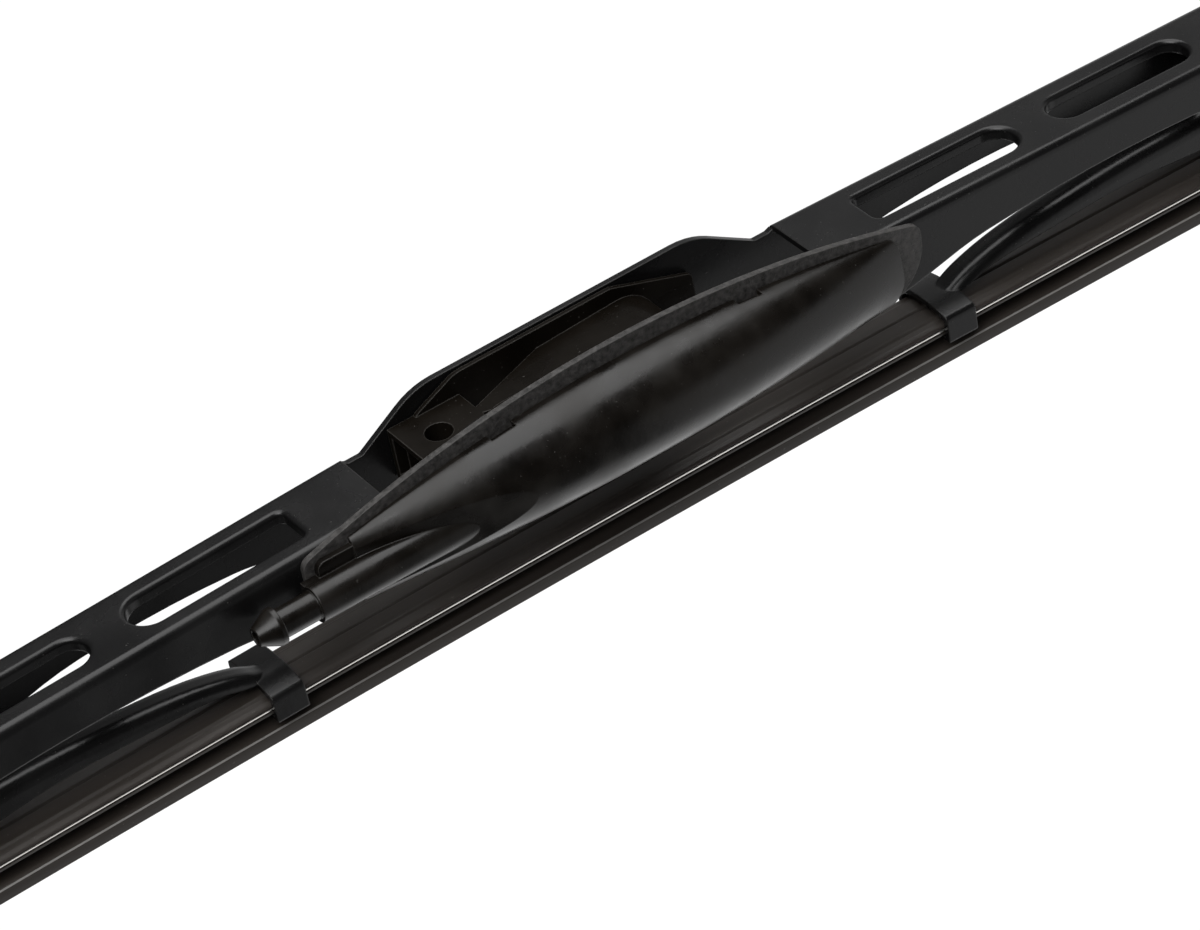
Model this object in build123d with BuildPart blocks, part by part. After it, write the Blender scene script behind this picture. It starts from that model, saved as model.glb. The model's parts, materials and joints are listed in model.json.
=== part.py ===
from build123d import *

import os
from math import asin, atan2, cos, degrees, hypot, radians, sin, sqrt, tan

# Bridge-type wiper blade with an arm adapter and a washer manifold, in millimetres.
# X runs along the blade, -Y is the washer side and +Z points away from the glass.
# The origin is the middle of the pin on which the arm adapter turns.

# Fits
pin_room = 0.05  # round a pin that something turns on
rivet_room = 0.02  # round a rivet in the sheet that it is set in
side_room = 0.35  # between pieces that turn past each other
claw_room = 0.2  # between a claw and what it holds

# Primary bridge, a pressed channel that is open below
bridge_width = 15.7
sheet = 1.1
fold_radius = 1.5  # outside of the folds along the arms
top_height = 4.0  # top face above the adapter's pin
arm_start = 40.8  # where the arms' top face begins
arm_slope = 1.97  # degrees
middle_depth = 13.6  # side wall below the top face, at the ears
near_arch_at = 92.0
near_arch_depth = 9.35  # side wall below the top face, at the top of the arch
near_arch_span = 21.0
near_arch_radius = 280.0
near_ramp_foot = 48.0  # where the wall starts to rise to the arch
far_arch_at = 76.5
far_arch_depth = 8.75
far_arch_span = 14.0
far_arch_radius = 160.0
far_ramp_foot = 42.0
lobe = 4.0  # round the yoke's rivet
end_round = 3.5

# Ears of the bridge
ear_height = 5.5  # above the top face
ear_shoulder = 26.3
ear_round = 13.0
notch_depth = 1.2
notch_inner = 37.2
notch_outer = 39.8
notch_round = 0.9
notch_lift = 0.4  # rise of the notch to the fold
ear_cover = 0.8  # of the washer plate over the near ear

# Slots in the arms' top face, with a rolled rim
inner_slot_start = 53.8
inner_slot_end = 83.6
inner_slot_width = 7.6
inner_slot_corner = 1.3
outer_slot_start = 91.0
outer_slot_end = 118.5
outer_slot_width = 6.8
rim_depth = 2.2
rim_round = 0.8

# Rubber and its two steel rails, bowed in one arc
rubber_length = 450.0
bow_radius = 5600.0
head_drop = 24.14  # top of the rubber below the bridge's top face
head_width = 10.9
head_height = 2.8
head_chamfer = 0.4
head_groove = 0.35
neck_width = 2.2
neck_height = 4.05
shoulder_width = 7.4
shoulder_slant = 0.5
shoulder_edge = 0.5
lip_height = 4.7
lip_tip = 0.9
rail_end = 2.0  # rail short of the rubber's end
rail_thickness = 0.7
rail_width = 3.1
rail_cover = 1.4  # rubber above the rail
rail_room = 0.05
rail_proud = 0.06

# Yokes and their claws
yoke_pivot_x = 130.0
yoke_pivot_z = -10.0
yoke_pin_radius = 1.9
yoke_width = 5.8
yoke_sheet = 1.0
yoke_crest = 2.8  # ridge above the rivet
yoke_crest_half = 3.5
claw_reach = 65.3  # from the rivet
claw_width = 5.7
claw_sheet = 1.0
claw_crown = 1.0  # rise of the saddle over the rubber
claw_hook = 0.6
claw_hook_reach = 2.0
# The next two lines give shares of the way from claw to rivet, and heights over the rubber
ridge_line = ((0.8, 9.4), (0.62, 9.1), (0.38, 7.9), (0.21, 6.4), (0.107, 4.7), (0.041, 2.9), (0, 1.9))
belly_line = ((1, 3.6), (0.8, 4.0), (0.6, 5.0), (0.4, 4.7), (0.25, 4.1), (0.115, 2.9), (0.045, 1.5), (0, 1.3))
ridge_slope = 0.05
ridge_round = 2.2
hollow_end = 0.1  # of the way from claw to rivet

# Rivets
rivet_head_radius = 3.2
rivet_head_height = 1.1
adapter_pin_radius = 2.5
adapter_head_radius = 4.2
adapter_head_height = 1.3

# Plastic liners between the yokes and the bridge
liner_radius = 4.0
liner_top = 0.7
liner_gap = 0.1

# Arm adapter, moulded between the ears
cheek = 0.75
cheek_height = 9.2  # above the pin
cheek_rise_start = -28.0
cheek_rise_end = -19.6
cheek_fall_start = 9.8
cheek_end = 24.4
cheek_end_top = 4.1
cheek_end_bottom = -1.6
cheek_rise_round = 2.0
cheek_fall_round = 6.0
cheek_end_round = 1.0
cheek_foot_round = 3.0
block_start = -32.4
block_end = -19.5
block_top = 5.3
block_bottom = -4.0
block_round = 0.4
block_recess = 2.0
block_wall = 1.1
lock_hole_radius = 2.3
lock_hole_x = -26.9
nose_x = 10.5
nose_radius = 6.6
nose_wall = 1.3
floor_thickness = 1.5
core_start = -5.5
tongue_half = 1.0  # half the tongue that joins the block
tongue_start = -5.0
adapter_rib = 1.2

# Washer manifold: a plate against the near ear and a hollow hull on it
plate_thickness = 1.1
plate_half = 58.0
plate_top = 11.7
plate_bottom = -9.0
plate_arc = 188.0
plate_foot_share = 0.78  # rounding at the foot of each end, as a share of the end's height
plate_tip_share = 0.17
margin = 3.0  # plate showing above the hull
end_margin = 5.0  # plate showing past the hull's ends
hull_arc = 235.0
hull_foot_share = 0.43
hull_tip_share = 0.17
hull_bulge = 10.0
hull_edge = 1.2
hull_lip = 0.06  # skin of the bulge past its outline
hull_wall = 1.5
hull_stations = 9
clip_at = (-21.4, 24.8)  # clip notches in the hull's upper edge
clip_length = 4.5
clip_height = 1.1
clip_depth = 1.6
tube_y = -12.2
tube_z = -2.4
tube_radius = 3.0
tube_start = -59.1
tube_end = -25.0  # inside the hull
flat_x = -45.0  # a point on the flat from which the tube comes out
flat_y = -11.7
flat_slope = 14.0  # degrees
step_x = -49.8  # blunt end of the bulge
ledge_end = -56.3
ledge_z = 0.3
ledge_height = 4.0
ledge_depth = 1.2
ledge_round = 1.4
hollow_start = -15.0
neck_radius = 2.4
barb_x = -65.6
barb_radius = 3.1
barb_land = 0.8
barb_tip_x = -69.6
barb_tip_radius = 1.55
tube_bore = 1.1
web_height = 4.6
web_end = -46.0
jet_radius = 0.6
jet_shares = (-0.13, 0.17, 0.47, 0.77)  # of the hull's half length
jet_y = -11.6

# Worked out from the sizes above
half_width = bridge_width / 2
inner_half = half_width - sheet
arm_fall = tan(radians(arm_slope))
arm_angle = radians(arm_slope)
bridge_reach = yoke_pivot_x + lobe
head_top = top_height - head_drop
bow_centre_z = head_top - bow_radius
yoke_tilt = atan2(yoke_pivot_x, yoke_pivot_z - bow_centre_z)
yoke_half = yoke_width / 2
claw_level = sqrt(bow_radius**2 - claw_reach**2) - hypot(yoke_pivot_x, yoke_pivot_z - bow_centre_z)
adapter_half = inner_half - side_room
cheek_inner = adapter_half - cheek
plate_front = half_width + plate_thickness
hull_half = plate_half - end_margin
hull_top = plate_top - margin
far = 2 * bridge_reach  # past every end of the bridge

arm_plane = Plane(
    origin=(arm_start, 0, top_height),
    x_dir=(cos(arm_angle), 0, -sin(arm_angle)),
    z_dir=(sin(arm_angle), 0, cos(arm_angle)),
)


def arm_top(x):
    """Height of an arm's top face at x."""
    return top_height - arm_fall * (x - arm_start)


def arm_slot(start, end, width, corner, grow):
    """Slot in an arm's top face: round outside, squared with rounded corners inside."""
    length = (end - start) / cos(arm_angle)
    middle = (end + start - 2 * arm_start) / 2 / cos(arm_angle)
    with BuildSketch(arm_plane) as slot:
        with Locations((middle, 0)):
            SlotOverall(length + 2 * grow, width + 2 * grow)
        if corner < width / 2:
            with Locations((middle - length / 4 - grow / 2, 0)):
                Rectangle(length / 2 + grow, width + 2 * grow)
            fillet(slot.vertices().group_by(Axis.X)[0], corner + grow)
    return slot.sketch


def rivet(x, z, pin, head, head_height, low, high):
    """Round rivet along Y with two domed heads, whose undersides lie at low and high."""
    dome_radius = (head**2 + head_height**2) / (2 * head_height)
    half_angle = asin(head / dome_radius) / 2
    dome_x = dome_radius * sin(half_angle)
    dome_y = head_height - dome_radius * (1 - cos(half_angle))
    with BuildPart() as pin_part:
        with BuildSketch(Plane(origin=(x, 0, z), x_dir=(1, 0, 0), z_dir=(0, 0, 1))):
            with BuildLine():
                ThreePointArc((0, low - head_height), (dome_x, low - dome_y), (head, low))
                Polyline((head, low), (pin, low), (pin, high), (head, high))
                ThreePointArc((head, high), (dome_x, high + dome_y), (0, high + head_height))
                Line((0, high + head_height), (0, low - head_height))
            make_face()
        revolve(axis=Axis((x, 0, z), (0, 1, 0)))
    return pin_part


# Primary bridge: one half, then its mirror image
with BuildPart() as channel_inside:
    with BuildSketch(Plane.XZ):
        Polygon(
            (arm_start, -far),
            (arm_start, top_height - sheet / cos(arm_angle)),
            (far, arm_top(far) - sheet / cos(arm_angle)),
            (far, -far),
            align=None,
        )
    extrude(amount=inner_half, both=True)
    roof = channel_inside.faces().filter_by(arm_plane)
    fillet(roof.edges().filter_by(Axis((0, 0, 0), arm_plane.x_dir)), fold_radius - sheet)
    with BuildSketch(Plane.XZ):
        Polygon((-far, -far), (-far, far), (arm_start, far), (arm_start, -far), align=None)
    extrude(amount=inner_half, both=True)

wall_foot = top_height - middle_depth


def arm_side(arch_at, arch_depth, arch_span, arch_radius, ramp_foot):
    """Side view of an arm, whose lower edge rises in an arch."""
    arch_top = top_height - arch_depth
    arch_foot = arch_top - arch_radius + sqrt(arch_radius**2 - arch_span**2)
    with BuildSketch(Plane.XZ) as side_view:
        with BuildLine():
            Line((arm_start, top_height), (bridge_reach, arm_top(bridge_reach)))
            Line((bridge_reach, arm_top(bridge_reach)), (bridge_reach, yoke_pivot_z))
            end_arc = CenterArc((yoke_pivot_x, yoke_pivot_z), lobe, 0, -90)
            arch = ThreePointArc(
                (arch_at + arch_span, arch_foot),
                (arch_at, arch_top),
                (arch_at - arch_span, arch_foot),
            )
            Spline(end_arc @ 1, arch @ 0, tangents=[(-1, 0), arch % 0])
            Spline(arch @ 1, (ramp_foot, wall_foot), tangents=[arch % 1, (-1, 0)])
            Polyline((ramp_foot, wall_foot), (arm_start, wall_foot), (arm_start, top_height))
        make_face()
    return side_view.sketch


with BuildPart() as primary_bridge:
    notch_z = top_height - notch_depth
    ear_top = top_height + ear_height
    # Arm, folded along its top
    near_side = arm_side(near_arch_at, near_arch_depth, near_arch_span, near_arch_radius, near_ramp_foot)
    extrude(near_side, amount=half_width)
    far_side = arm_side(far_arch_at, far_arch_depth, far_arch_span, far_arch_radius, far_ramp_foot)
    extrude(far_side, amount=-half_width)
    top_face = primary_bridge.faces().filter_by(arm_plane).sort_by(Axis.Z)[-1]
    fillet(top_face.edges().filter_by(Axis((0, 0, 0), arm_plane.x_dir)), fold_radius)
    # Ear, with a relief notch beside the fold
    with BuildSketch(Plane.XZ):
        with BuildLine():
            ear = FilletPolyline(
                (0, ear_top),
                (ear_shoulder, ear_top),
                (notch_inner, notch_z),
                (notch_outer, notch_z),
                (arm_start, notch_z + notch_lift),
                radius=[ear_round, notch_round, notch_round],
            )
            Polyline(ear @ 1, (arm_start, wall_foot), (0, wall_foot), ear @ 0)
        make_face()
    extrude(amount=half_width, both=True)
    add(channel_inside.part, mode=Mode.SUBTRACT)
    # The near ear stays lower than the washer plate in front of it
    with BuildSketch(Plane.XZ):
        with Locations((0, plate_top)):
            Rectangle(2 * arm_start, 2 * plate_top)
        with Locations((0, plate_top - plate_arc)):
            Circle(plate_arc - ear_cover, mode=Mode.SUBTRACT)
    extrude(amount=half_width, mode=Mode.SUBTRACT)
    # Rounded ends, seen from the side
    with BuildSketch(Plane.XZ):
        with BuildLine():
            corner = (bridge_reach, arm_top(bridge_reach))
            rounding = FilletPolyline(
                (bridge_reach - 2 * end_round, arm_top(bridge_reach - 2 * end_round)),
                corner,
                (bridge_reach, corner[1] - 2 * end_round),
                radius=end_round,
            )
            Polyline(
                rounding @ 1,
                (far, corner[1] - 2 * end_round),
                (far, far),
                (corner[0] - 2 * end_round, far),
                rounding @ 0,
            )
        make_face()
    extrude(amount=half_width, both=True, mode=Mode.SUBTRACT)
    # Slots with rolled rims
    for start, end, width, corner_radius in (
        (inner_slot_start, inner_slot_end, inner_slot_width, inner_slot_corner),
        (outer_slot_start, outer_slot_end, outer_slot_width, outer_slot_width / 2),
    ):
        extrude(arm_slot(start, end, width, corner_radius, sheet), amount=-rim_depth)
        extrude(arm_slot(start, end, width, corner_radius, 0), amount=-2 * rim_depth, mode=Mode.SUBTRACT)
    top_face = primary_bridge.faces().filter_by(arm_plane).sort_by(Axis.Z)[-1]
    fillet([edge for wire in top_face.inner_wires() for edge in wire.edges()], rim_round)
    # Rivet holes
    with BuildSketch(Plane.XZ):
        Circle(adapter_pin_radius + rivet_room)
        with Locations((yoke_pivot_x, yoke_pivot_z)):
            Circle(yoke_pin_radius + rivet_room)
    extrude(amount=half_width, both=True, mode=Mode.SUBTRACT)
    mirror(about=Plane.YZ)

# Rubber: a head with two side grooves, a neck, a shoulder and a tapered lip, on the bow's arc
bow_axis = Axis((0, 0, bow_centre_z), (0, 1, 0))


def bow_start(length):
    """Plane across the blade at the start of a bowed piece, and the angle that the piece spans."""
    span = degrees(length / bow_radius)
    half = radians(span / 2)
    plane = Plane(
        origin=(-bow_radius * sin(half), 0, bow_centre_z + bow_radius * cos(half)),
        x_dir=(0, 1, 0),
        z_dir=(cos(half), 0, sin(half)),
    )
    return plane, span


rail_z = -rail_cover - rail_thickness / 2
rail_inner = head_width / 2 + rail_proud - rail_width

with BuildPart() as wiper_rubber:
    rubber_plane, rubber_span = bow_start(rubber_length)
    with BuildSketch(rubber_plane):
        with BuildLine():
            shoulder_z = -head_height - neck_height
            edge_z = shoulder_z - shoulder_slant
            lip_z = edge_z - shoulder_edge
            half = Polyline(
                (0, -head_groove),
                (head_groove, 0),
                (head_width / 2 - head_chamfer, 0),
                (head_width / 2, -head_chamfer),
                (head_width / 2, rail_z + rail_thickness / 2 + rail_room),
                (rail_inner - rail_room, rail_z + rail_thickness / 2 + rail_room),
                (rail_inner - rail_room, rail_z - rail_thickness / 2 - rail_room),
                (head_width / 2, rail_z - rail_thickness / 2 - rail_room),
                (head_width / 2, -head_height),
                (neck_width / 2, -head_height),
                (neck_width / 2, shoulder_z),
                (shoulder_width / 2, edge_z),
                (shoulder_width / 2, lip_z),
                (lip_tip / 2, lip_z - lip_height),
                (0, lip_z - lip_height),
            )
            mirror(half, about=Plane.YZ)
        make_face()
    revolve(axis=bow_axis, revolution_arc=rubber_span)

# Steel rails in the rubber's side grooves
rails = {}
for name, side in (("rail_near", -1), ("rail_far", 1)):
    with BuildPart() as rail:
        rail_plane, rail_span = bow_start(rubber_length - 2 * rail_end)
        with BuildSketch(rail_plane):
            with Locations((side * (rail_inner + rail_width / 2), rail_z)):
                Rectangle(rail_width, rail_thickness)
        revolve(axis=bow_axis, revolution_arc=rail_span)
    rails[name] = rail

# Yokes: a ridged channel with a swan neck down to a claw at each end
crown_top = claw_level + claw_crown + claw_sheet
claw_inner = head_width / 2 + rail_proud + claw_room
claw_half = claw_inner + claw_sheet
hook_top = claw_level - head_height - claw_room


def yoke_beam(frame, inset):
    """Half of a yoke's beam with its skin moved in by inset, solid below, from the rivet to the claw."""
    side_view = Plane(origin=frame.origin, x_dir=frame.x_dir, z_dir=-frame.y_dir)
    crest = yoke_crest - inset
    ridge_points = [(claw_reach * (1 - share), claw_level + rise - inset) for share, rise in ridge_line]
    with BuildPart() as beam:
        with BuildSketch(side_view):
            with BuildLine():
                Line((0, crest), (yoke_crest_half, crest))
                Spline((yoke_crest_half, crest), ridge_points[0], tangents=[(1, 0), (1, -ridge_slope)])
                ridge = Spline(*ridge_points, tangents=[(1, -ridge_slope), (1, 0)])
                Polyline(ridge @ 1, (claw_reach, -far), (0, -far), (0, crest))
            make_face()
        extrude(amount=yoke_half - inset, both=True)
        uphill = beam.faces().filter_by(lambda face: face.normal_at().dot(frame.z_dir) > 0.2)
        along = uphill.edges().filter_by(Axis((0, 0, 0), frame.y_dir), reverse=True)
        fillet(along, ridge_round - inset)
    return beam.part


yokes = {}
for name, side in (("yoke_left", -1), ("yoke_right", 1)):
    frame = Plane(
        origin=(side * yoke_pivot_x, 0, yoke_pivot_z),
        x_dir=(side * cos(yoke_tilt), 0, -sin(yoke_tilt)),
        z_dir=(side * sin(yoke_tilt), 0, cos(yoke_tilt)),
    )
    across = Plane(origin=frame.origin, x_dir=frame.y_dir, z_dir=frame.x_dir)
    with BuildPart() as yoke:
        add(yoke_beam(frame, 0))
        with BuildSketch(Plane(origin=frame.origin, x_dir=frame.x_dir, z_dir=-frame.y_dir)):
            with BuildLine():
                belly_points = [(claw_reach * (1 - share), claw_level + rise) for share, rise in belly_line]
                belly = Spline(*belly_points, tangents=[(1, 0), (1, 0)])
                Polyline(belly @ 1, (claw_reach, -2 * far), (0, -2 * far), belly @ 0)
            make_face()
        extrude(amount=yoke_half, both=True, mode=Mode.SUBTRACT)
        hollow = yoke_beam(frame, yoke_sheet)
        hollow_reach = frame.x_dir * claw_reach * (1 - hollow_end)
        hollow_side = Plane(origin=frame.origin + hollow_reach, z_dir=-frame.x_dir)
        add(split(hollow, bisect_by=hollow_side, mode=Mode.PRIVATE), mode=Mode.SUBTRACT)
        # Claw: a crowned saddle with two legs that hook under the rubber's head
        with BuildSketch(across.offset(claw_reach)) as claw:
            with BuildLine():
                crown = ThreePointArc(
                    (-claw_half, crown_top - claw_crown),
                    (0, crown_top),
                    (claw_half, crown_top - claw_crown),
                )
                hook_foot = hook_top - claw_hook
                Polyline(crown @ 1, (claw_half, hook_foot), (-claw_half, hook_foot), crown @ 0)
            make_face()
            fillet(claw.vertices().group_by(Axis.Y)[-1], claw_sheet)
            with BuildLine():
                crown = ThreePointArc(
                    (-claw_inner, crown_top - claw_crown - claw_sheet + claw_room),
                    (0, crown_top - claw_sheet),
                    (claw_inner, crown_top - claw_crown - claw_sheet + claw_room),
                )
                Polyline(crown @ 1, (claw_inner, hook_top), (-claw_inner, hook_top), crown @ 0)
            make_face(mode=Mode.SUBTRACT)
            with Locations((0, hook_top - claw_hook)):
                Rectangle(2 * (claw_inner - claw_hook_reach), 4 * claw_hook, mode=Mode.SUBTRACT)
        extrude(amount=claw_width / 2, both=True)
        mirror(about=across)
        with BuildSketch(Plane.XZ):
            with Locations((side * yoke_pivot_x, yoke_pivot_z)):
                Circle(yoke_pin_radius + pin_room)
        extrude(amount=half_width, both=True, mode=Mode.SUBTRACT)
    yokes[name] = yoke

# Rivets: two for the yokes, one for the arm adapter
yoke_rivets = {}
for name, side in (("yoke_rivet_left", -1), ("yoke_rivet_right", 1)):
    yoke_rivets[name] = rivet(
        side * yoke_pivot_x,
        yoke_pivot_z,
        yoke_pin_radius,
        rivet_head_radius,
        rivet_head_height,
        -half_width,
        half_width,
    )
arm_pivot_rivet = rivet(
    0, 0, adapter_pin_radius, adapter_head_radius, adapter_head_height, -plate_front, half_width
)

# Liners: a plastic saddle over each yoke, inside the bridge
liners = {}
for name, side in (("yoke_liner_left", -1), ("yoke_liner_right", 1)):
    slope = Vector(cos(arm_angle), 0, -side * sin(arm_angle))
    liner_view = Plane(origin=(side * yoke_pivot_x, 0, yoke_pivot_z), x_dir=slope, z_dir=(0, -1, 0))
    liner_ceiling = (arm_top(yoke_pivot_x) - yoke_pivot_z) * cos(arm_angle) - sheet - liner_gap
    with BuildPart() as liner:
        with BuildSketch(liner_view):
            Circle(liner_radius)
            with Locations((0, liner_ceiling / 2)):
                Rectangle(2 * liner_radius, liner_ceiling)
        extrude(amount=inner_half, both=True)
        folds = liner.faces().filter_by(Plane(origin=(0, 0, 0), z_dir=liner_view.y_dir)).edges()
        fillet(folds.filter_by(Axis((0, 0, 0), slope)), fold_radius - sheet + liner_gap)
        with BuildSketch(liner_view):
            with Locations((0, (liner_ceiling - liner_top) / 2 - far / 2)):
                Rectangle(4 * liner_radius, liner_ceiling - liner_top + far)
        extrude(amount=yoke_half + side_room, both=True, mode=Mode.SUBTRACT)
        with BuildSketch(liner_view):
            Circle(yoke_pin_radius + pin_room)
        extrude(amount=inner_half, both=True, mode=Mode.SUBTRACT)
    liners[name] = liner

# Arm adapter: two cheeks, a block with the locking hole, and a floor that ends in a round nose
with BuildPart() as arm_adapter:
    with BuildSketch(Plane.XZ.offset(cheek_inner)):
        with BuildLine():
            FilletPolyline(
                (cheek_rise_start, block_top),
                (cheek_rise_end, cheek_height),
                (cheek_fall_start, cheek_height),
                (cheek_end, cheek_end_top),
                (cheek_end, cheek_end_bottom),
                (nose_x + nose_radius, -nose_radius),
                (core_start, -nose_radius),
                (block_end, block_bottom),
                (cheek_rise_start, block_bottom),
                radius=[
                    cheek_rise_round,
                    cheek_fall_round,
                    cheek_end_round,
                    cheek_end_round,
                    cheek_foot_round,
                    cheek_foot_round,
                    cheek_foot_round,
                    block_round,
                    block_round,
                ],
                close=True,
            )
        make_face()
    extrude(amount=cheek)
    mirror(about=Plane.XZ)
    # Floor and nose
    with BuildSketch(Plane.XZ):
        with BuildLine():
            Line((block_end, block_top), (nose_x, nose_radius))
            nose = CenterArc((nose_x, 0), nose_radius, 90, -180)
            Polyline(
                nose @ 1,
                (core_start, -nose_radius),
                (core_start, block_top - floor_thickness),
                (block_end, block_top - floor_thickness),
                (block_end, block_top),
            )
        make_face()
    extrude(amount=cheek_inner, both=True)
    # Gaps on both sides of the tongue that joins the block to the floor
    with BuildSketch(Plane.XY):
        Polygon(
            (block_end, tongue_half),
            (block_end, cheek_inner),
            (tongue_start, cheek_inner),
            align=None,
        )
        mirror(about=Plane.XZ)
    extrude(amount=2 * block_top, mode=Mode.SUBTRACT)
    # Pockets under the nose, on both sides of a rib
    for pocket_plane in (Plane.XZ.offset(adapter_rib / 2), Plane.XZ.offset(-cheek_inner)):
        with BuildSketch(pocket_plane):
            with Locations((nose_x, 0)):
                Circle(nose_radius - nose_wall)
            with Locations((nose_x, -nose_radius)):
                Rectangle(2 * (nose_radius - nose_wall), 2 * nose_radius)
            with Locations((0, 0)):
                Circle(adapter_pin_radius + pin_room + adapter_rib, mode=Mode.SUBTRACT)
        extrude(amount=cheek_inner - adapter_rib / 2, mode=Mode.SUBTRACT)
    # Block
    with BuildSketch(Plane.XY.offset(block_bottom)):
        with Locations(((block_start + block_end) / 2, 0)):
            Rectangle(block_end - block_start, 2 * adapter_half)
    extrude(amount=block_top - block_bottom)
    with BuildSketch(Plane.YZ.offset(block_start)):
        with Locations((0, (block_top + block_bottom) / 2)):
            Rectangle(2 * (adapter_half - block_wall), block_top - block_bottom - 2 * block_wall)
    extrude(amount=block_recess, mode=Mode.SUBTRACT)
    with BuildSketch(Plane.XY.offset(block_bottom)):
        with Locations((lock_hole_x, 0)):
            Circle(lock_hole_radius)
    extrude(amount=block_top - block_bottom, mode=Mode.SUBTRACT)
    with BuildSketch(Plane.XZ):
        Circle(adapter_pin_radius + pin_room)
    extrude(amount=half_width, both=True, mode=Mode.SUBTRACT)


def arched_plate(plane, half, top, arc, foot_share, tip_share):
    """Outline with an arched top, a flat foot and rounded corners."""
    end_height = top - arc + sqrt(arc**2 - half**2) - plate_bottom
    with BuildSketch(plane) as outline:
        with BuildLine():
            foot = FilletPolyline(
                (0, plate_bottom),
                (half, plate_bottom),
                (half, plate_bottom + end_height),
                radius=end_height * foot_share,
            )
            Line((0, top), foot @ 0)
            ThreePointArc((0, top), (half / 2, top - arc + sqrt(arc**2 - half**2 / 4)), foot @ 1)
        make_face()
        tip = outline.vertices().group_by(Axis.X)[-1].sort_by(Axis.Y)[-1]
        fillet(tip, end_height * tip_share)
        mirror(about=Plane.YZ)
    return outline.sketch


# Manifold back plate, flat against the near ear
front_plane = Plane.XZ.offset(plate_front)
with BuildPart() as manifold_backplate:
    back_plane = Plane.XZ.offset(half_width)
    plate = arched_plate(back_plane, plate_half, plate_top, plate_arc, plate_foot_share, plate_tip_share)
    extrude(plate, amount=plate_thickness, dir=(0, -1, 0))
    with BuildSketch(back_plane):
        Circle(adapter_pin_radius + rivet_room)
    extrude(amount=plate_thickness, mode=Mode.SUBTRACT)


def hull_loft(skin, reach):
    """Boat-shaped bulge on the plate: half ellipses across, with the skin moved in by skin."""
    with BuildPart() as bulge:
        for station in range(hull_stations):
            x = reach * (2 * station / (hull_stations - 1) - 1)
            top = hull_top - hull_arc + sqrt(hull_arc**2 - x**2) - skin
            bottom = plate_bottom + skin
            depth = hull_edge + (hull_bulge - hull_edge) * (1 - (x / hull_half) ** 2) - skin
            with BuildSketch(Plane(origin=(x, 0, 0), x_dir=(0, 1, 0), z_dir=(1, 0, 0))):
                with BuildLine():
                    middle = (top + bottom) / 2
                    EllipticalCenterArc((-plate_front, middle), depth, top - middle, 90, arc_size=180)
                    Line((-plate_front, bottom), (-plate_front, top))
                make_face()
        loft()
    return bulge.part


with BuildPart() as manifold_hull:
    add(hull_loft(-hull_lip, hull_half + hull_edge))
    footprint = arched_plate(front_plane, hull_half, hull_top, hull_arc, hull_foot_share, hull_tip_share)
    extrude(footprint, amount=far, dir=(0, -1, 0), mode=Mode.INTERSECT)
    # Flat on the hose end of the bulge, and its blunt end with a ledge
    flat_angle = radians(flat_slope)
    flat_normal = (-sin(flat_angle), -cos(flat_angle), 0)
    with BuildSketch(Plane(origin=(flat_x, flat_y, 0), x_dir=(0, 0, 1), z_dir=flat_normal)):
        Rectangle(2 * plate_half, 2 * plate_half)
    extrude(amount=2 * hull_bulge, mode=Mode.SUBTRACT)
    with BuildSketch(front_plane):
        with Locations((step_x, 0)):
            Rectangle(plate_half, 2 * plate_half, align=(Align.MAX, Align.CENTER))
    extrude(amount=hull_bulge, mode=Mode.SUBTRACT)
    with BuildSketch(front_plane):
        with Locations(((ledge_end + flat_x) / 2, ledge_z)):
            RectangleRounded(flat_x - ledge_end, ledge_height, ledge_round)
    extrude(amount=ledge_depth)
    # Hose tube with its barb, and the web that ties it to the plate
    with BuildSketch(Plane(origin=(0, tube_y, tube_z), x_dir=(1, 0, 0), z_dir=(0, -1, 0))):
        Polygon(
            (barb_tip_x, 0),
            (barb_tip_x, barb_tip_radius),
            (barb_x - barb_land, barb_radius),
            (barb_x, barb_radius),
            (barb_x, neck_radius),
            (tube_start, neck_radius),
            (tube_start, tube_radius),
            (tube_end, tube_radius),
            (tube_end, 0),
            align=None,
        )
    revolve(axis=Axis((0, tube_y, tube_z), (1, 0, 0)))
    with BuildSketch(front_plane):
        with Locations(((tube_start + web_end) / 2, tube_z)):
            Rectangle(web_end - tube_start, web_height)
    extrude(amount=-tube_y - plate_front)
    with BuildSketch(front_plane):
        Rectangle(2 * plate_half, 2 * plate_half)
    extrude(amount=-plate_half, mode=Mode.SUBTRACT)
    # Clip notches
    with BuildSketch(front_plane):
        for clip_x in clip_at:
            clip_z = hull_top - hull_arc + sqrt(hull_arc**2 - clip_x**2)
            with Locations((clip_x, clip_z)):
                Rectangle(clip_length, 2 * clip_height, rotation=-degrees(asin(clip_x / hull_arc)))
    extrude(amount=clip_depth, mode=Mode.SUBTRACT)
    # Hollow inside, with the tube's bore and the jets
    hollow = hull_loft(hull_wall, hull_half - 4 * hull_wall)
    hollow_side = Plane.YZ.offset(hollow_start)
    add(split(hollow, bisect_by=hollow_side, mode=Mode.PRIVATE), mode=Mode.SUBTRACT)
    with BuildSketch(Plane(origin=(barb_tip_x, tube_y, tube_z), x_dir=(0, 1, 0), z_dir=(1, 0, 0))):
        Circle(tube_bore)
    extrude(amount=hollow_start + hull_wall - barb_tip_x, mode=Mode.SUBTRACT)
    with BuildSketch(Plane.XY.offset(plate_bottom)):
        with Locations(*[(share * hull_half, jet_y) for share in jet_shares]):
            Circle(jet_radius)
    extrude(amount=-plate_bottom, mode=Mode.SUBTRACT)

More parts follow.
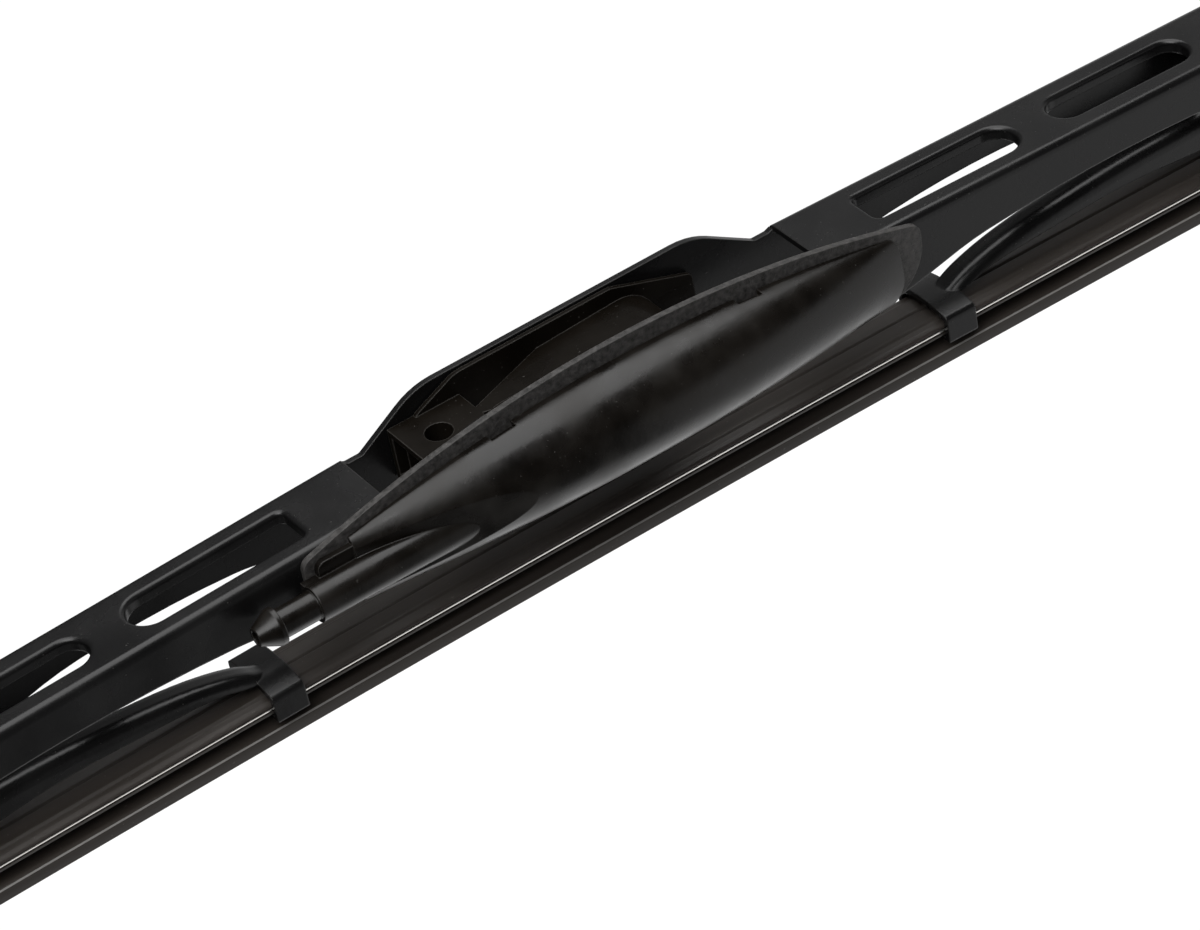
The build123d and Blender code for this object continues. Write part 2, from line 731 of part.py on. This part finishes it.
os.makedirs("parts", exist_ok=True)
pieces = {
    "primary_bridge": primary_bridge,
    "wiper_rubber": wiper_rubber,
    **rails,
    **yokes,
    **yoke_rivets,
    **liners,
    "arm_pivot_rivet": arm_pivot_rivet,
    "arm_adapter": arm_adapter,
    "manifold_backplate": manifold_backplate,
    "manifold_hull": manifold_hull,
}
for name, piece in pieces.items():
    piece.part.label = name
    export_step(piece.part, f"parts/{name}.step")
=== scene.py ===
import json
from math import cos, radians, sin

import bmesh
import bpy
from mathutils import Matrix, Quaternion, Vector


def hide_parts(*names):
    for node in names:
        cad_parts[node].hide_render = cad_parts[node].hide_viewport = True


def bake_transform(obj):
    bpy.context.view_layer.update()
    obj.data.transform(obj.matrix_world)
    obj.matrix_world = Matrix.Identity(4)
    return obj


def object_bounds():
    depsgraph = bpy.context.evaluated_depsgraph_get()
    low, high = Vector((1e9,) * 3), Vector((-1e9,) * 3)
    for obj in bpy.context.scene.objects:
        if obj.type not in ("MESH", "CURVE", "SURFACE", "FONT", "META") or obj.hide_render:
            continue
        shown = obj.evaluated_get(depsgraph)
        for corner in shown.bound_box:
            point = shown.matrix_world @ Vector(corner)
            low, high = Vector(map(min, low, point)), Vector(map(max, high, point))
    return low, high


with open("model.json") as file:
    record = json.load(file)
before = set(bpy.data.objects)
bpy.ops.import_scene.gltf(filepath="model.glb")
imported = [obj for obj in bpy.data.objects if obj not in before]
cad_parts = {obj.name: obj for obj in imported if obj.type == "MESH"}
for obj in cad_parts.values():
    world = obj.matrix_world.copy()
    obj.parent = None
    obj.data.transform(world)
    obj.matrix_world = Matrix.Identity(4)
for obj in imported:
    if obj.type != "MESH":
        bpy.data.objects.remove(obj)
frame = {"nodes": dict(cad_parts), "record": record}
cad_box = [list(corner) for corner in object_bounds()]
nodes = frame["nodes"]
scene = bpy.context.scene
MM = 0.001


# Materials

CLOUD_FROM, CLOUD_TO = 0.3, 0.7  # noise levels for the dark and the light end of a finish
GRAIN_HEIGHT = 0.0002
BEVEL_SAMPLES = 6
DUST_COLOUR = (0.35, 0.34, 0.32)
DUST_SCALE = 1900.0
DUST_FROM, DUST_TO = 0.74, 0.8  # noise levels between which a speck appears
# Edges are lightened towards this colour as a painted highlight.
EDGE_HIGHLIGHT_COLOUR = (0.22, 0.21, 0.195)
EDGE_HIGHLIGHT_FROM, EDGE_HIGHLIGHT_TO = 0.97, 0.78  # cosine of the normal's turn, from no painted edge highlight to the full one
LENGTHWAYS = (0.02, 1.0, 1.0)


def socket(node, name, value):
    node.inputs[name].default_value = value


def noise_node(tree, coord, scale, detail=3.0, roughness=0.5, stretch=None):
    """Noise over object coordinates, stretched along the axes if asked."""
    noise = tree.nodes.new("ShaderNodeTexNoise")
    socket(noise, "Scale", scale)
    socket(noise, "Detail", detail)
    socket(noise, "Roughness", roughness)
    if stretch:
        mapping = tree.nodes.new("ShaderNodeMapping")
        socket(mapping, "Scale", stretch)
        tree.links.new(coord, mapping.inputs["Vector"])
        coord = mapping.outputs["Vector"]
    tree.links.new(coord, noise.inputs["Vector"])
    return noise.outputs["Fac"]


def ramp_node(tree, value, low, high, first, last):
    """Colour that goes from first to last as the value goes from low to high."""
    ramp = tree.nodes.new("ShaderNodeValToRGB")
    ramp.color_ramp.elements[0].position = low
    ramp.color_ramp.elements[1].position = high
    ramp.color_ramp.elements[0].color = (*first, 1.0)
    ramp.color_ramp.elements[1].color = (*last, 1.0)
    tree.links.new(value, ramp.inputs["Fac"])
    return ramp.outputs["Color"]


def range_node(tree, value, low, high):
    """Cloud noise mapped to the range from low to high."""
    span = tree.nodes.new("ShaderNodeMapRange")
    socket(span, "From Min", CLOUD_FROM)
    socket(span, "From Max", CLOUD_TO)
    socket(span, "To Min", low)
    socket(span, "To Max", high)
    tree.links.new(value, span.inputs["Value"])
    return span.outputs["Result"]


def mix_node(tree, factor, first, colour):
    """First colour, mixed with a fixed one by a factor."""
    mix = tree.nodes.new("ShaderNodeMix")
    mix.data_type = "RGBA"
    socket(mix, "B", (*colour, 1.0))
    tree.links.new(factor, mix.inputs["Factor"])
    tree.links.new(first, mix.inputs["A"])
    return mix.outputs["Result"]


def edge_node(tree, normal, strength):
    """Mask of the edges for the painted highlight, where the softened normal leaves the face's own."""
    turn = tree.nodes.new("ShaderNodeVectorMath")
    turn.operation = "DOT_PRODUCT"
    face = tree.nodes.new("ShaderNodeNewGeometry")
    tree.links.new(normal, turn.inputs[0])
    tree.links.new(face.outputs["Normal"], turn.inputs[1])
    span = tree.nodes.new("ShaderNodeMapRange")
    socket(span, "From Min", EDGE_HIGHLIGHT_FROM)
    socket(span, "From Max", EDGE_HIGHLIGHT_TO)
    socket(span, "To Max", strength)
    tree.links.new(turn.outputs["Value"], span.inputs["Value"])
    return span.outputs["Result"]


def finish_material(
    name, dark, light, rough, cloud, grain, bump,
    metallic=0.0, specular=0.5, dust=0.0, stretch=None, edge=0.0002, edge_highlight=0.0,
):
    """Clouded colour, uneven roughness, a fine grain in relief, soft edges lightened as a painted highlight,
    and a little dust.
    """
    material = bpy.data.materials.new(name)
    material.use_nodes = True
    tree = material.node_tree
    shader = tree.nodes["Principled BSDF"]
    coord = tree.nodes.new("ShaderNodeTexCoord").outputs["Object"]
    clouds = noise_node(tree, coord, cloud, stretch=stretch)
    fine = noise_node(tree, coord, grain, detail=4.0, roughness=0.6, stretch=stretch)
    colour = ramp_node(tree, clouds, CLOUD_FROM, CLOUD_TO, dark, light)
    if dust:
        specks = noise_node(tree, coord, DUST_SCALE, detail=1.0)
        mask = ramp_node(tree, specks, DUST_FROM, DUST_TO, (0, 0, 0), (dust, dust, dust))
        colour = mix_node(tree, mask, colour, DUST_COLOUR)
    tree.links.new(range_node(tree, clouds, *rough), shader.inputs["Roughness"])
    socket(shader, "Metallic", metallic)
    socket(shader, "Specular IOR Level", specular)
    relief = tree.nodes.new("ShaderNodeBump")
    socket(relief, "Strength", bump)
    socket(relief, "Distance", GRAIN_HEIGHT)
    tree.links.new(fine, relief.inputs["Height"])
    if edge:
        soft = tree.nodes.new("ShaderNodeBevel")
        soft.samples = BEVEL_SAMPLES
        socket(soft, "Radius", edge)
        tree.links.new(soft.outputs["Normal"], relief.inputs["Normal"])
        # Edges lightened in colour: a painted highlight.
        edge_highlight_mask = edge_node(tree, soft.outputs["Normal"], edge_highlight)
        colour = mix_node(tree, edge_highlight_mask, colour, EDGE_HIGHLIGHT_COLOUR)
    tree.links.new(colour, shader.inputs["Base Color"])
    tree.links.new(relief.outputs["Normal"], shader.inputs["Normal"])
    return material


# In each finish below, the amount by which edges are lightened is a painted highlight.
MATERIALS = {
    "painted_steel": finish_material(
        "satin_black_paint",
        dark=(0.0055, 0.0054, 0.0056),
        light=(0.0085, 0.0083, 0.0084),
        rough=(0.22, 0.31),
        cloud=90.0,
        grain=1400.0,
        bump=0.06,
        dust=0.12,
        edge=0.00035,
        edge_highlight=0.12,
    ),
    "rivet_steel": finish_material(
        "black_rivet_paint",
        dark=(0.008, 0.008, 0.008),
        light=(0.014, 0.014, 0.014),
        rough=(0.34, 0.44),
        cloud=160.0,
        grain=1200.0,
        bump=0.08,
    ),
    "rail_steel": finish_material(
        "bright_rail_steel",
        dark=(0.80, 0.78, 0.74),
        light=(0.94, 0.92, 0.88),
        rough=(0.22, 0.34),
        cloud=220.0,
        grain=1500.0,
        bump=0.1,
        metallic=1.0,
        stretch=LENGTHWAYS,
        edge=0.0,
    ),
    "rubber": finish_material(
        "extruded_rubber",
        dark=(0.036, 0.0290, 0.0240),
        light=(0.052, 0.0435, 0.0375),
        rough=(0.42, 0.56),
        cloud=700.0,
        grain=2600.0,
        bump=0.12,
        stretch=LENGTHWAYS,
        dust=0.15,
        edge=0.0,
    ),
    # Lighter rubber along the wings' upper edge: its colour paints a highlight on that edge.
    "rubber_edge_highlight": finish_material(
        "painted_highlight_rubber_edge",
        dark=(0.25, 0.24, 0.23),
        light=(0.36, 0.35, 0.335),
        rough=(0.5, 0.62),
        cloud=700.0,
        grain=2600.0,
        bump=0.12,
        stretch=LENGTHWAYS,
        edge=0.0,
    ),
    "liner_plastic": finish_material(
        "liner_plastic",
        dark=(0.009, 0.009, 0.009),
        light=(0.013, 0.013, 0.013),
        rough=(0.45, 0.55),
        cloud=120.0,
        grain=1500.0,
        bump=0.1,
    ),
    "adapter_plastic": finish_material(
        "moulded_adapter",
        dark=(0.0055, 0.0043, 0.0031),
        light=(0.0095, 0.0076, 0.0057),
        rough=(0.24, 0.36),
        cloud=110.0,
        grain=1100.0,
        bump=0.12,
        specular=0.1,
        dust=0.2,
        edge=0.0003,
        edge_highlight=0.4,
    ),
    "plate_plastic": finish_material(
        "grained_plate",
        dark=(0.020, 0.0185, 0.0175),
        light=(0.090, 0.086, 0.083),
        rough=(0.45, 0.66),
        cloud=1100.0,
        grain=2600.0,
        bump=0.9,
        dust=0.3,
        edge=0.0003,
        edge_highlight=0.3,
    ),
    "hull_plastic": finish_material(
        "moulded_hull",
        dark=(0.0035, 0.0027, 0.0020),
        light=(0.0105, 0.0084, 0.0063),
        rough=(0.18, 0.39),
        cloud=130.0,
        grain=1700.0,
        bump=0.06,
        dust=0.12,
        edge=0.0003,
        edge_highlight=0.2,
    ),
}
for part in frame["record"]["subparts"]:
    target = nodes[part["node"]]
    target.data.materials.clear()
    target.data.materials.append(MATERIALS[part["material_slot"]])


# Rubber and rails, in millimetres: swept along the blade's bow in two halves, one each side of the middle.
# Their section follows the photo and differs from the solids': the rubber's head has a raised middle,
# its wings are wider than the solid's shoulder, and the rails are thinner.

BOW_RADIUS = 5600.0
HEAD_TOP = -20.14
RUBBER_HALF = 225.0
RAIL_HALF = 223.0
RAIL_INNER, RAIL_OUTER = 2.41, 5.6
RAIL_TOP, RAIL_FOOT = -1.4, -1.82
RAIL_SLANT = 0.1
SWEEP_STEPS = 120
CORNER_RADIUS = 0.12
CORNER_SHARE = 0.45  # the most of a side that one corner takes
CREASE = radians(28)
WING_HIGHLIGHT_ACROSS, WING_HIGHLIGHT_LOW, WING_HIGHLIGHT_HIGH = 5.3, -6.0, -5.7  # upper edge of the wings, lightened in colour as a painted highlight

# Half of the rubber's section: distance from the middle, and height measured from the top of the head
RUBBER_RIGHT = [
    (0.0, -0.35), (0.35, 0.0), (3.35, 0.0), (3.75, -0.36), (4.6, -0.5), (5.2, -0.74), (5.45, -1.0),
    (5.45, -1.35), (2.36, -1.35), (2.36, -2.15), (5.45, -2.15), (5.32, -2.68), (5.15, -2.8),
    (1.1, -2.8), (1.1, -5.1), (4.9, -5.62), (5.35, -5.76), (5.55, -6.0), (5.5, -8.14),
    (1.3, -9.4), (0.45, -11.75),
]
RUBBER_OUTLINE = RUBBER_RIGHT + [(-across, height) for across, height in reversed(RUBBER_RIGHT[1:])]


def rail_outline(side):
    """Section of one rail, its outer face slanting in towards its foot."""
    inner = side * RAIL_INNER
    outer = side * RAIL_OUTER
    return [(inner, RAIL_TOP), (outer, RAIL_TOP), (outer - side * RAIL_SLANT, RAIL_FOOT), (inner, RAIL_FOOT)]


def rounded(points, radius, segments=3):
    """Closed outline with every corner rounded as far as its sides allow."""
    outline = []
    count = len(points)
    for index, point in enumerate(points):
        here = Vector(point)
        behind = Vector(points[index - 1]) - here
        ahead = Vector(points[(index + 1) % count]) - here
        reach = min(radius, CORNER_SHARE * behind.length, CORNER_SHARE * ahead.length)
        start = here + behind.normalized() * reach
        end = here + ahead.normalized() * reach
        for step in range(segments + 1):
            t = step / segments
            outline.append((1 - t) ** 2 * start + 2 * t * (1 - t) * here + t**2 * end)
    return outline


def sweep(name, outline, half_length, side, finishes):
    """Half of a bowed strip from the middle of the blade to one end, the wings' upper edges in the second
    finish, a lighter colour that paints a highlight there.
    """
    mesh = bpy.data.meshes.new(name)
    for finish in finishes:
        mesh.materials.append(MATERIALS[finish])
    strip = bmesh.new()
    rings = []
    for step in range(SWEEP_STEPS + 1):
        angle = side * half_length * step / SWEEP_STEPS / BOW_RADIUS
        ring = []
        for across, height in outline:
            reach = BOW_RADIUS + height
            x = reach * sin(angle)
            z = HEAD_TOP - BOW_RADIUS + reach * cos(angle)
            ring.append(strip.verts.new((x * MM, across * MM, z * MM)))
        rings.append(ring)
    count = len(outline)
    for first, second in zip(rings, rings[1:]):
        for index in range(count):
            following = (index + 1) % count
            face = strip.faces.new((first[index], first[following], second[following], second[index]))
            # Faces along the wings' upper edge take the lighter second finish, a painted highlight.
            across, height = (outline[index] + outline[following]) / 2
            if len(finishes) > 1 and abs(across) > WING_HIGHLIGHT_ACROSS and WING_HIGHLIGHT_LOW < height < WING_HIGHLIGHT_HIGH:
                face.material_index = 1
    strip.faces.new(rings[0])
    strip.faces.new(rings[-1])
    bmesh.ops.recalc_face_normals(strip, faces=strip.faces)
    for face in strip.faces:
        face.smooth = True
    for edge in strip.edges:
        edge.smooth = edge.calc_face_angle(0.0) < CREASE
    strip.to_mesh(mesh)
    strip.free()
    piece = bpy.data.objects.new(name, mesh)
    scene.collection.objects.link(piece)
    return piece


STRIPS = (
    ("wiper_rubber", RUBBER_OUTLINE, RUBBER_HALF, ("rubber", "rubber_edge_highlight")),
    ("rail_near", rail_outline(-1), RAIL_HALF, ("rail_steel",)),
    ("rail_far", rail_outline(1), RAIL_HALF, ("rail_steel",)),
)
for node, outline, half_length, finishes in STRIPS:
    for word, side in (("left", -1), ("right", 1)):
        strip = sweep(f"{node}_{word}_half", rounded(outline, CORNER_RADIUS), half_length, side, finishes)
        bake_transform(strip)
        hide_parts(node)


# Floor: pale, and far enough below the blade to clear its ends at every pose

SWING_ROOM = 0.09  # more than the blade's ends dip as it turns on the adapter
FLOOR_Z = cad_box[0][2] - SWING_ROOM
FLOOR_HALF = 4.0
FLOOR_GLOW = 0.95
floor_corners = [
    (-FLOOR_HALF, -FLOOR_HALF, FLOOR_Z),
    (FLOOR_HALF, -FLOOR_HALF, FLOOR_Z),
    (FLOOR_HALF, FLOOR_HALF, FLOOR_Z),
    (-FLOOR_HALF, FLOOR_HALF, FLOOR_Z),
]
floor_mesh = bpy.data.meshes.new("floor")
floor_mesh.from_pydata(floor_corners, [], [(0, 1, 2, 3)])
floor = bpy.data.objects.new("floor", floor_mesh)
scene.collection.objects.link(floor)
paper = bpy.data.materials.new("pale_floor")
paper.use_nodes = True
paper_shader = paper.node_tree.nodes["Principled BSDF"]
socket(paper_shader, "Base Color", (0.1, 0.1, 0.1, 1.0))
socket(paper_shader, "Roughness", 0.9)
socket(paper_shader, "Specular IOR Level", 0.1)
socket(paper_shader, "Emission Color", (1.0, 1.0, 1.0, 1.0))
socket(paper_shader, "Emission Strength", FLOOR_GLOW)
floor_mesh.materials.append(paper)
floor.visible_glossy = False
floor.visible_diffuse = False
floor.visible_shadow = False


# Room: its brightness depends on the direction. Upwards it is dark on the camera's side and lighter behind
# the blade, most of all to the right. Downwards it is nearly dark, bright to the right and brightest
# straight below.

CAMERA_SIDE = 0.03
BEHIND_LEFT, BEHIND_RIGHT = 0.11, 0.3
BELOW_LEVEL, BELOW_SLOPING, BELOW_RIGHT = 0.02, 0.05, 0.6
STRAIGHT_BELOW = 1.2

world = bpy.data.worlds.new("studio")
scene.world = world
world.use_nodes = True
world_tree = world.node_tree
background = world_tree.nodes["Background"]
socket(background, "Color", (1.0, 1.0, 1.0, 1.0))
direction = world_tree.nodes.new("ShaderNodeTexCoord")
towards = world_tree.nodes.new("ShaderNodeSeparateXYZ")
world_tree.links.new(direction.outputs["Generated"], towards.inputs["Vector"])


def step_node(axis, start, end):
    """Smooth step from 0 to 1 over one component of the direction into the room."""
    span = world_tree.nodes.new("ShaderNodeMapRange")
    span.interpolation_type = "SMOOTHSTEP"
    socket(span, "From Min", start)
    socket(span, "From Max", end)
    world_tree.links.new(towards.outputs[axis], span.inputs["Value"])
    return span.outputs["Result"]


def blend_node(step, low, high):
    """Brightness that goes from low to high with a step. Each is a number or another node's output."""
    mix = world_tree.nodes.new("ShaderNodeMix")
    world_tree.links.new(step, mix.inputs["Factor"])
    for name, value in (("A", low), ("B", high)):
        if isinstance(value, float):
            socket(mix, name, value)
        else:
            world_tree.links.new(value, mix.inputs[name])
    return mix.outputs["Result"]


rightward = step_node("X", 0.26, 0.5)
behind_blade = blend_node(rightward, BEHIND_LEFT, BEHIND_RIGHT)
walls = blend_node(step_node("Y", -0.3, 0.6), CAMERA_SIDE, behind_blade)
sloping = blend_node(step_node("Z", 0.0, -0.55), BELOW_LEVEL, BELOW_SLOPING)
front = blend_node(rightward, sloping, BELOW_RIGHT)
ground = blend_node(step_node("Z", -0.62, -1.0), front, STRAIGHT_BELOW)
room = blend_node(step_node("Z", 0.0, 0.35), ground, walls)
world_tree.links.new(room, background.inputs["Strength"])


def softbox(name, place, facing, turn, width, height, power):
    """Panel that faces along a direction and is turned about it."""
    light = bpy.data.lights.new(name, "AREA")
    light.shape = "RECTANGLE"
    light.size = width
    light.size_y = height
    light.energy = power
    lamp = bpy.data.objects.new(name, light)
    lamp.location = place
    aim = Vector(facing).to_track_quat("-Z", "Y")
    lamp.rotation_euler = (aim @ Quaternion((0.0, 0.0, 1.0), radians(turn))).to_euler()
    scene.collection.objects.link(lamp)


softbox(
    "top_softbox",
    place=(-0.33, -0.16, 0.9),
    facing=(0.0, 0.0, -1.0),
    turn=35.0,
    width=2.28,
    height=0.78,
    power=13.4,
)
softbox(
    "left_softbox",
    place=(-0.36, -0.42, 0.71),
    facing=(0.36, 0.42, -0.71),
    turn=0.0,
    width=0.7,
    height=0.6,
    power=1.9,
)


# Camera, fitted to the photo

AZIMUTH, ELEVATION, ROLL = radians(-27.20), radians(36.19), radians(-11.92)
DISTANCE, TARGET_Z = 0.8533, 0.004
FOCAL, IMAGE_WIDTH = 5546.5, 1200  # pixels of the photo
AIM_RIGHT, AIM_DOWN = 15.41, 105.84  # from the target to the photo's middle, in its pixels
SENSOR = 36.0
CLIP_START = 0.05
back = Vector((sin(AZIMUTH) * cos(ELEVATION), -cos(AZIMUTH) * cos(ELEVATION), sin(ELEVATION)))
level = Vector((cos(AZIMUTH), sin(AZIMUTH), 0.0))
above = back.cross(level)
right = level * cos(ROLL) + above * sin(ROLL)
up = above * cos(ROLL) - level * sin(ROLL)
eye = back * DISTANCE + Vector((0.0, 0.0, TARGET_Z))
backward = (back - right * (AIM_RIGHT / FOCAL) + up * (AIM_DOWN / FOCAL)).normalized()
right = (right - backward * right.dot(backward)).normalized()
up = backward.cross(right)
camera_data = bpy.data.cameras.new("camera")
camera_data.sensor_width = SENSOR
camera_data.sensor_fit = "HORIZONTAL"
camera_data.lens = FOCAL * SENSOR / IMAGE_WIDTH
camera_data.clip_start = CLIP_START
camera = bpy.data.objects.new("camera", camera_data)
camera.matrix_world = Matrix.Translation(eye) @ Matrix((right, up, backward)).transposed().to_4x4()
scene.collection.objects.link(camera)
scene.camera = camera
scene.view_settings.view_transform = "Standard"
